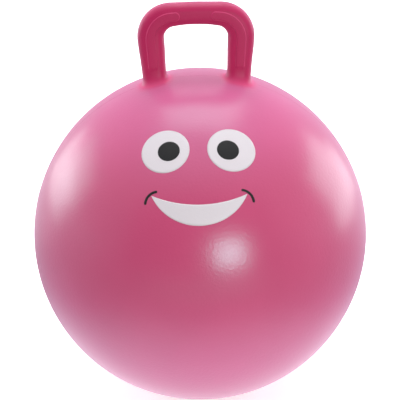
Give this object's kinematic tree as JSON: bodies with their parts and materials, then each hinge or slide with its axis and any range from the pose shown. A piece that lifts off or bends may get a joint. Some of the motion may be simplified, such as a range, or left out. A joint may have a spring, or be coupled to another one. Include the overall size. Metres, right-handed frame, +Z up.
{
  "type": "hopper ball",
  "caption": "Inflated ball for sitting on and bouncing, with a hollow loop handle on top, a plain printed smiling face in front and a flush push-in air valve at the back.",
  "frame": {"origin": "middle of the flat patch on which the ball stands", "axes": "+Z up through the handle's grip, the face towards -Y, the handle's width along X"},
  "size_m": [0.4999, 0.4998, 0.6074],
  "materials": {
    "ball": "semi-gloss soft PVC, light pink, with a fine grain",
    "handle": "semi-gloss soft PVC, thicker and so deeper in colour",
    "valve_seat": "satin soft PVC",
    "valve_plug": "satin white",
    "white_print": "printed ink, semi-gloss",
    "black_print": "printed ink, semi-gloss"
  },
  "bodies": {
    "ball": {"ball_skin": "ball", "handle": "handle", "valve_seat": "valve_seat", "left_eye": "white_print", "right_eye": "white_print", "left_pupil": "black_print", "right_pupil": "black_print", "smile": "white_print", "left_dimple": "black_print", "right_dimple": "black_print"},
    "plug": {"valve_plug": "valve_plug"}
  },
  "joints": [
    {"name": "plug_pull", "type": "slide", "parent": "ball", "child": "plug", "axis": [0, 0.866, -0.5], "range_m": [0, 0.02]}
  ]
}
